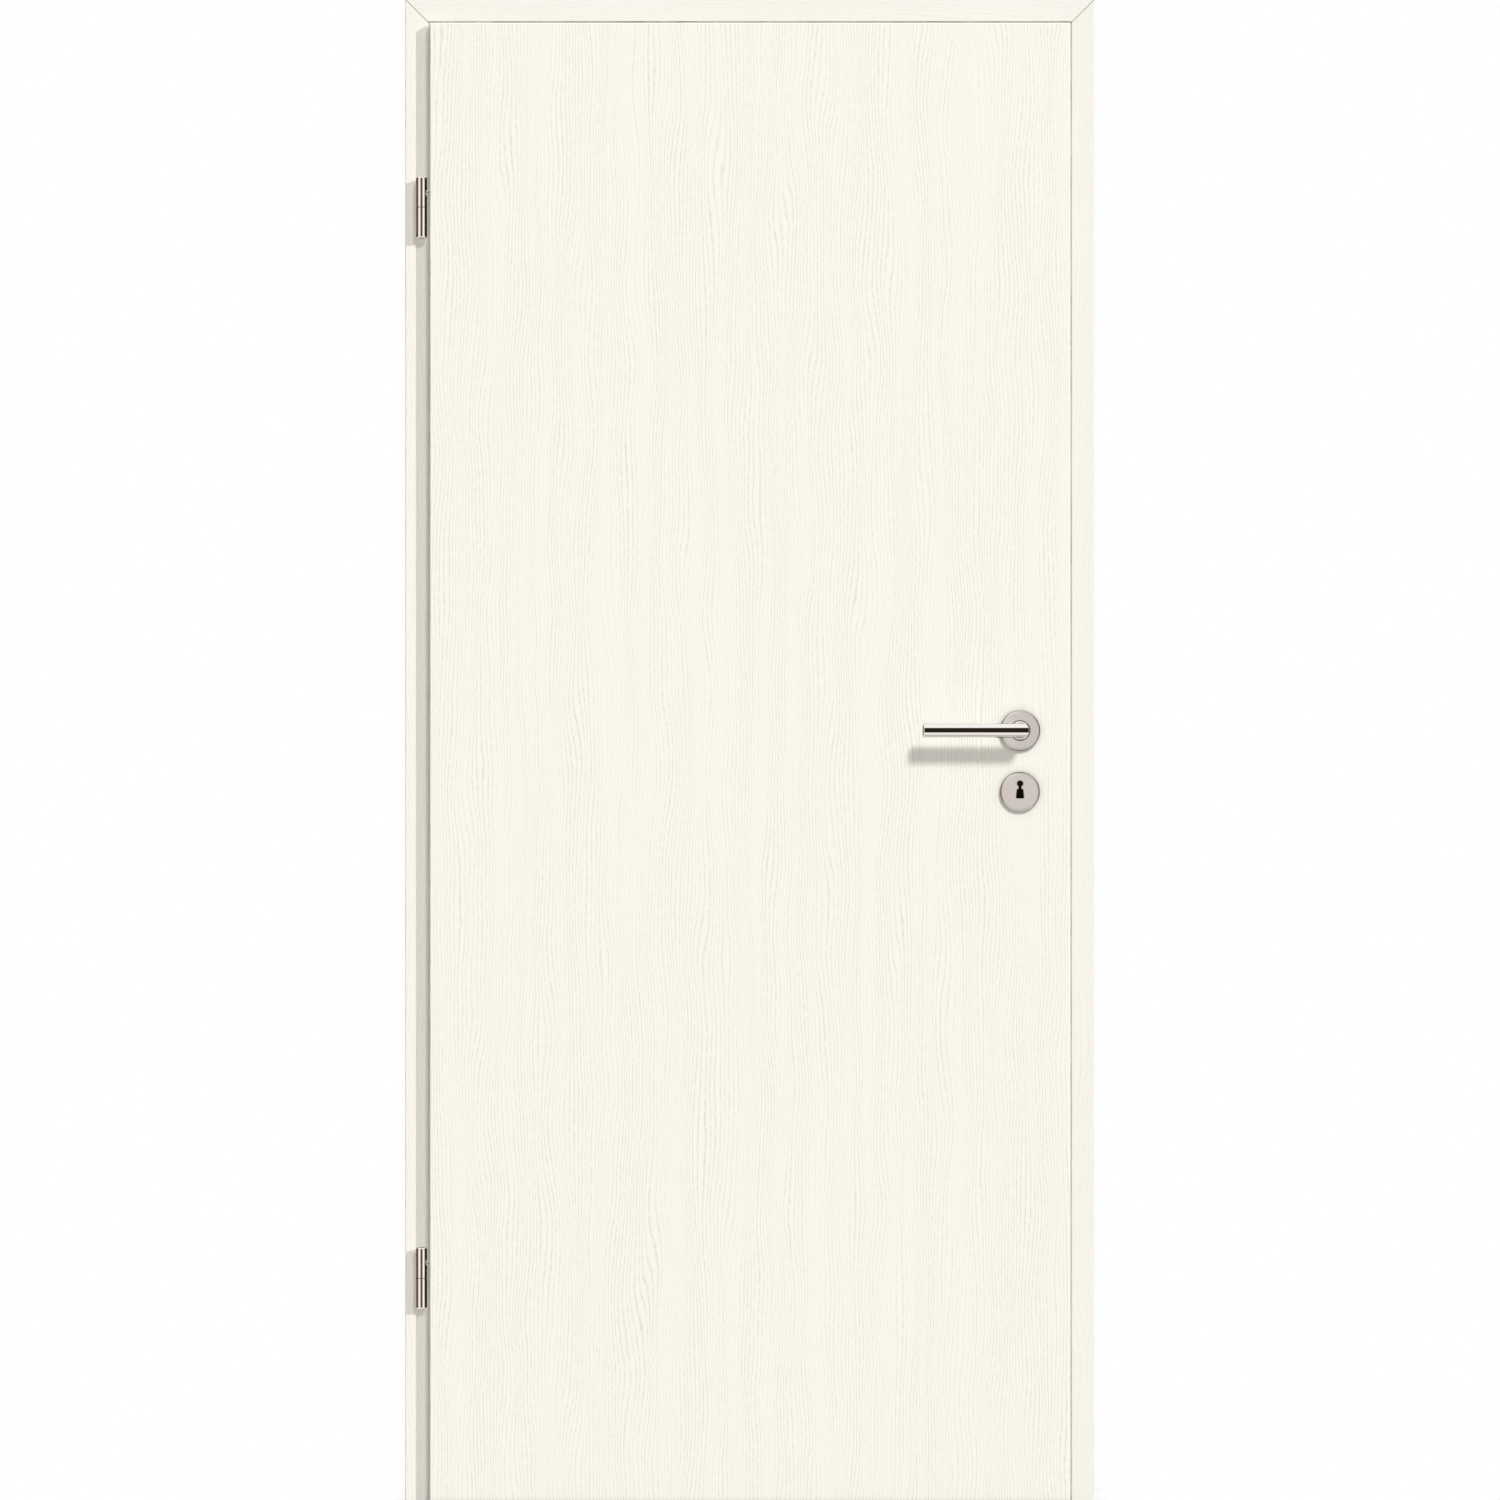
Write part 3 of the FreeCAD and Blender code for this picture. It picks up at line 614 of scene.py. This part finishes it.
polished = []
for name, node in nodes.items():
    finish = finishes[name]
    node.data.materials.clear()
    node.data.materials.append(finish)
    if finish in (nickel, lever_steel):
        polished.append(node)
    if "laminate" in finish.name or "wood" in finish.name:
        # Polished metal shows the studio in place of the woodwork close behind it
        node.visible_glossy = False
    if "rosette" in name:
        # The plates throw no bright patches on the leaf
        node.visible_diffuse = False
    if name in ("leaf_top_lip", "leaf_lock_lip"):
        # The lit edges of the leaf throw none on the casing
        node.visible_diffuse = False


# Small pieces that the solids leave out

PIN_RADIUS = 0.004
WASHER_THICKNESS = 0.00088
WASHER_INSET = 0.0004
WASHER_GAP = 0.00001
WASHER_SIDES = 48
SCREW_RADIUS = 0.0039
SCREW_TOP_RADIUS = 0.0031
SCREW_RIM_HEIGHT = 0.00015
SCREW_HEIGHT = 0.0008
SCREW_FROM_END = 0.010
SCREW_FOOT = 0.0001
CROSS_REACH = 0.0021
CROSS_HALF_WIDTH = 0.0005
CROSS_TAPER = 0.75
SCREW_SIDES = 32


def new_piece(name, shape, body, material):
    mesh = bpy.data.meshes.new(name)
    bmesh.ops.recalc_face_normals(shape, faces=shape.faces)
    shape.to_mesh(mesh)
    shape.free()
    mesh.materials.append(material)
    piece = bpy.data.objects.new(name, mesh)
    bpy.context.scene.collection.objects.link(piece)
    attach(piece, body)


def circle(shape, radius, height, sides):
    turns = [2 * math.pi * i / sides for i in range(sides)]
    return [shape.verts.new((radius * math.cos(a), radius * math.sin(a), height)) for a in turns]


def join_loops(shape, first, second):
    for i in range(len(first)):
        after = (i + 1) % len(first)
        shape.faces.new((first[i], first[after], second[after], second[i]))


def loop_edges(shape, loop):
    ends = [(loop[i - 1], loop[i]) for i in range(len(loop))]
    return [shape.edges.get(pair) or shape.edges.new(pair) for pair in ends]


def washer():
    """Flat ring about +Z, with its upper face on z = 0."""
    shape = bmesh.new()
    outer = knuckle_radius - WASHER_INSET
    rim = [(outer, 0), (outer, -WASHER_THICKNESS), (PIN_RADIUS, -WASHER_THICKNESS), (PIN_RADIUS, 0)]
    loops = [circle(shape, radius, height, WASHER_SIDES) for radius, height in rim]
    for loop, following in zip(loops, loops[1:] + loops[:1]):
        join_loops(shape, loop, following)
    return shape


def screw_head():
    """Low head about +Z with a cross recess, on z = 0."""
    shape = bmesh.new()
    foot = circle(shape, SCREW_RADIUS, -SCREW_FOOT, SCREW_SIDES)
    rim = circle(shape, SCREW_RADIUS, SCREW_RIM_HEIGHT, SCREW_SIDES)
    top = circle(shape, SCREW_TOP_RADIUS, SCREW_HEIGHT, SCREW_SIDES)
    join_loops(shape, foot, rim)
    join_loops(shape, rim, top)
    quarter = [
        (CROSS_REACH, -CROSS_HALF_WIDTH),
        (CROSS_REACH, CROSS_HALF_WIDTH),
        (CROSS_HALF_WIDTH, CROSS_HALF_WIDTH),
    ]
    outline = []
    for turn in range(4):
        outline += quarter
        quarter = [(-b, a) for a, b in quarter]
    floor_outline = [(CROSS_TAPER * a, CROSS_TAPER * b) for a, b in outline]
    upper = [shape.verts.new((a, b, SCREW_HEIGHT)) for a, b in outline]
    lower = [shape.verts.new((a, b, SCREW_RIM_HEIGHT)) for a, b in floor_outline]
    join_loops(shape, upper, lower)
    shape.faces.new(lower)
    edges = loop_edges(shape, top) + loop_edges(shape, upper)
    bmesh.ops.triangle_fill(shape, edges=edges, use_beauty=True)
    return shape


for end in ("upper", "lower"):
    shape = washer()
    washer_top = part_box(end + "_leaf_knuckle")[0].z - WASHER_GAP
    bmesh.ops.translate(shape, verts=shape.verts, vec=(hinge_x, hinge_y, washer_top))
    new_piece(end + "_hinge_washer", shape, "frame", dark_plastic)

screwed_plates = {"lock_forend": ("leaf", 1), "strike_plate": ("frame", -1)}
for plate, (body, outward) in screwed_plates.items():
    low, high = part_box(plate)
    face_x = high.x if outward > 0 else low.x
    ends = {"upper": high.z - SCREW_FROM_END, "lower": low.z + SCREW_FROM_END}
    for end, level in ends.items():
        shape = screw_head()
        turn = Matrix.Rotation(outward * math.pi / 2, 4, "Y")
        place = Matrix.Translation((face_x, (low.y + high.y) / 2, level))
        bmesh.ops.transform(shape, matrix=place @ turn, verts=shape.verts)
        new_piece(f"{plate}_{end}_screw", shape, body, plated)


# Floor: white to the camera, darker where the object stands close

FLOOR_SHADOW = (0.55, 0.55, 0.54, 1)
FLOOR_SHADOW_REACH = 0.06
FLOOR_CLEARS = (0.35, 0.95)
FLOOR_HALF_SIZE = 30.0


def floor_material():
    material, tree = new_material("floor")[:2]
    shade = blend_between(tree, closeness(tree, FLOOR_SHADOW_REACH), *FLOOR_CLEARS)
    colour = mixed(tree, shade, FLOOR_SHADOW, grey(1))
    path = tree.nodes.new("ShaderNodeLightPath")
    glow = tree.nodes.new("ShaderNodeEmission")
    put(glow.inputs["Color"], colour)
    put(glow.inputs["Strength"], light_level(tree, path, ["Is Camera Ray", "Is Transmission Ray"]))
    output = tree.nodes["Material Output"]
    put(output.inputs["Surface"], glow.outputs[0])
    return material


floor_mesh = bpy.data.meshes.new("floor")
floor_corners = [(-1, -1), (1, -1), (1, 1), (-1, 1)]
floor_mesh.from_pydata(
    [(FLOOR_HALF_SIZE * x, FLOOR_HALF_SIZE * y, 0) for x, y in floor_corners],
    [],
    [(0, 1, 2, 3)],
)
floor = bpy.data.objects.new("floor", floor_mesh)
floor_mesh.materials.append(floor_material())
floor.visible_glossy = False
bpy.context.scene.collection.objects.link(floor)


# World: white to the camera, a studio with dark screens to polished metal

SCREEN_TINT = (0.020, 0.014, 0.010, 1)
SHADE_TINT = (0.34, 0.29, 0.25, 1)
SIDE_TINT = (0.13, 0.105, 0.085, 1)
BEHIND_TINT = grey(0.40)
BEHIND_STRENGTH = 0.5
LOW_TINT = grey(0.50)
ROOM_TINT = grey(0.96)

# Soft edges of the studio's parts in degrees, each from outside to inside
BAND_BOTTOM = (-36, -32)
BAND_TOP = (43, 39)
ROOM = (-95, -50)
CEILING = (48, 60)
BRIGHT_WALL = (20, 34)
SHADE_LEFT = (-34, -18)
SCREEN_LEFT = (-8, -2)
SCREEN_RIGHT = (25, 19)
SIDES = (63, 69)
BEHIND = (142, 152)
HORIZON = (15, 11)


def studio_colour(tree, direction):
    """Colour of the studio by azimuth and elevation; azimuth 0 is the viewer's side."""
    x, y, z = direction
    azimuth = calc(tree, "DEGREES", calc(tree, "ARCTAN2", x, times(tree, y, -1)))
    elevation = calc(tree, "DEGREES", calc(tree, "ARCSINE", z))
    off_middle = calc(tree, "ABSOLUTE", azimuth)
    off_level = calc(tree, "ABSOLUTE", elevation)
    behind = blend_between(tree, off_middle, *BEHIND)
    above_floor = blend_between(tree, elevation, *BAND_BOTTOM)
    band = times(tree, above_floor, blend_between(tree, elevation, *BAND_TOP))

    colour = mixed(tree, blend_between(tree, elevation, *ROOM), LOW_TINT, ROOM_TINT)
    colour = mixed(tree, times(tree, behind, BEHIND_STRENGTH), colour, BEHIND_TINT)
    colour = mixed(tree, blend_between(tree, elevation, *CEILING), colour, grey(1))
    bright_wall = times(tree, blend_between(tree, off_middle, *BRIGHT_WALL), band)
    colour = mixed(tree, bright_wall, colour, grey(1))

    right = times(tree, blend_between(tree, azimuth, *SCREEN_RIGHT), band)
    shade = times(tree, blend_between(tree, azimuth, *SHADE_LEFT), right)
    colour = mixed(tree, shade, colour, SHADE_TINT)
    screen = times(tree, blend_between(tree, azimuth, *SCREEN_LEFT), right)
    colour = mixed(tree, screen, colour, SCREEN_TINT)

    to_right = calc(tree, "GREATER_THAN", azimuth, 0)
    in_front = calc(tree, "SUBTRACT", 1, behind)
    side = times(tree, blend_between(tree, off_middle, *SIDES), in_front)
    side_colour = mixed(tree, to_right, SIDE_TINT, SCREEN_TINT)
    colour = mixed(tree, times(tree, side, band), colour, side_colour)
    horizon = times(tree, blend_between(tree, off_level, *HORIZON), behind)
    return mixed(tree, horizon, colour, SCREEN_TINT)


def studio_world():
    world = bpy.data.worlds.new("studio")
    world.use_nodes = True
    world.cycles.sampling_method = "NONE"
    bpy.context.scene.world = world
    tree = world.node_tree
    source = tree.nodes.new("ShaderNodeTexCoord")
    split = tree.nodes.new("ShaderNodeSeparateXYZ")
    put(split.inputs[0], source.outputs["Generated"])
    path = tree.nodes.new("ShaderNodeLightPath")
    background = tree.nodes["Background"]
    studio = studio_colour(tree, split.outputs)
    put(background.inputs["Color"], mixed(tree, path.outputs["Is Glossy Ray"], grey(1), studio))
    seen_by = ["Is Camera Ray", "Is Transmission Ray", "Is Glossy Ray"]
    put(background.inputs["Strength"], light_level(tree, path, seen_by))


studio_world()


# Lamps: share is how much of a white surface's brightness each one gives

def sun(name, travel, facing, share, angle):
    """A lamp whose light travels one way; its share counts on a surface square to facing."""
    direction = Vector(travel).normalized()
    lamp = bpy.data.lights.new(name, "SUN")
    lamp.energy = share * math.pi / direction.dot(Vector(facing))
    lamp.angle = math.radians(angle)
    holder = bpy.data.objects.new(name, lamp)
    holder.rotation_mode = "QUATERNION"
    holder.rotation_quaternion = direction.to_track_quat("-Z", "Y")
    bpy.context.scene.collection.objects.link(holder)
    return holder


def linked(name, state, pieces):
    """A collection that a lamp keeps to, or leaves out."""
    collection = bpy.data.collections.new(name)
    for piece in pieces:
        collection.objects.link(piece)
    for link in collection.collection_objects:
        link.light_linking.link_state = state
    return collection


TO_BACK = (0, 1, 0)
TO_FRONT = (0, -1, 0)
LEVER_SHADOW_FALL = (-0.335, 1, -0.69)
edge_lamp = sun("edge_lamp", (-1.05, 1, -0.55), TO_BACK, EDGE_LIGHT, 0.6)
soft_lamp = sun("soft_lamp", LEVER_SHADOW_FALL, TO_BACK, SOFT_LIGHT, 9)
lever_lamp = sun("lever_lamp", LEVER_SHADOW_FALL, TO_BACK, LEVER_LIGHT, 9)
plate_lamp = sun("plate_lamp", TO_BACK, TO_BACK, PLATE_LIGHT, 30)
rim_lamp = sun("rim_lamp", (0.30, 1, -0.75), TO_BACK, RIM_LIGHT, 16)
back_lamp = sun("back_lamp", (0.55, -1, -0.6), TO_FRONT, BACK_LIGHT, 12)
back_plate_lamp = sun("back_plate_lamp", TO_FRONT, TO_FRONT, BACK_PLATE_LIGHT, 50)

lever_set = [
    nodes[face + piece]
    for face in ("front_", "back_")
    for piece in ("lever", "lever_rosette", "key_rosette", "guide_ring")
]
lever_set += [nodes["lever_spindle"], nodes["lock_follower"]]
plates = [node for name, node in nodes.items() if "rosette" in name]
edge_lamp.light_linking.blocker_collection = linked("edge_lamp_shadows", "EXCLUDE", lever_set)
lever_lamp.light_linking.blocker_collection = linked("lever_lamp_shadows", "INCLUDE", lever_set)
for lamp in (plate_lamp, rim_lamp, back_plate_lamp):
    lamp.light_linking.blocker_collection = linked(lamp.name + "_shadows", "INCLUDE", plates)
    lamp.light_linking.receiver_collection = linked(lamp.name + "_lit", "INCLUDE", plates)
for lamp in (edge_lamp, soft_lamp, lever_lamp, back_lamp):
    lamp.light_linking.receiver_collection = linked(lamp.name + "_lit", "EXCLUDE", polished + plates)


# Camera

shown_width = (leaf_high.x - leaf_low.x) / (LEAF_RIGHT_COLUMN - LEAF_LEFT_COLUMN) * PHOTO_SIZE
camera_data = bpy.data.cameras.new("camera")
camera_data.sensor_width = SENSOR_WIDTH
camera_data.lens = SENSOR_WIDTH * CAMERA_DISTANCE / shown_width
camera = bpy.data.objects.new("camera", camera_data)
camera.rotation_euler = (math.pi / 2, 0, 0)
above_middle = (PHOTO_SIZE / 2 - LEAF_TOP_ROW) / PHOTO_SIZE * shown_width
camera.location = (leaf_centre_x, leaf_front_y - CAMERA_DISTANCE, leaf_high.z - above_middle)
bpy.context.scene.collection.objects.link(camera)
bpy.context.scene.camera = camera
bpy.context.scene.view_settings.view_transform = "Standard"
